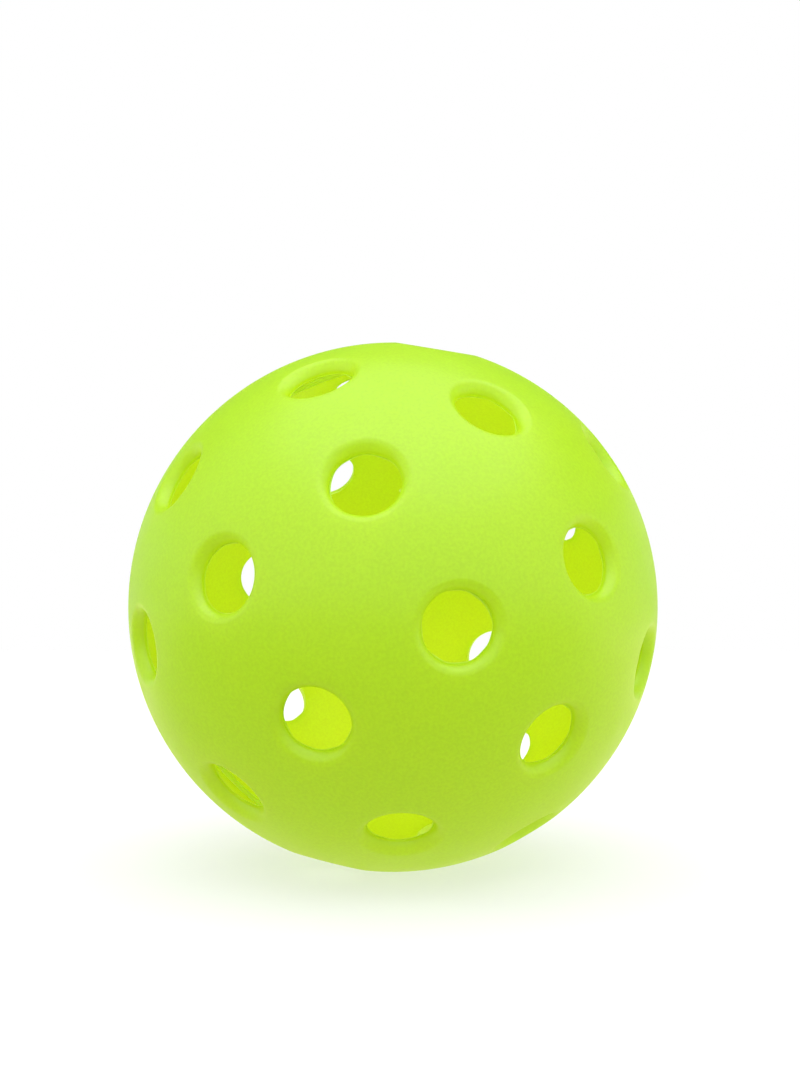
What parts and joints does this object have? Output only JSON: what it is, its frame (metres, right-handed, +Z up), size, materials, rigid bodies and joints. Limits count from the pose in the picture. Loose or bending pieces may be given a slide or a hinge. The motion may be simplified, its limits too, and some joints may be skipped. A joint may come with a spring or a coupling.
{
  "type": "pickleball ball",
  "caption": "Hollow perforated plastic ball for a paddle sport: two like moulded halves with rings of round holes, welded at the middle.",
  "frame": {"origin": "centre of the ball", "axes": "Y is the mould axis through the two poles, with the front half's pole on -Y; the weld seam lies in the XZ plane; +Z is up"},
  "size_m": [0.074, 0.074, 0.074],
  "materials": {
    "front_shell_plastic": "matte",
    "rear_shell_plastic": "matte",
    "weld_plastic": "satin"
  },
  "bodies": {
    "root": {"front_half_shell": "front_shell_plastic", "rear_half_shell": "rear_shell_plastic", "weld_bead": "weld_plastic"}
  },
  "joints": []
}
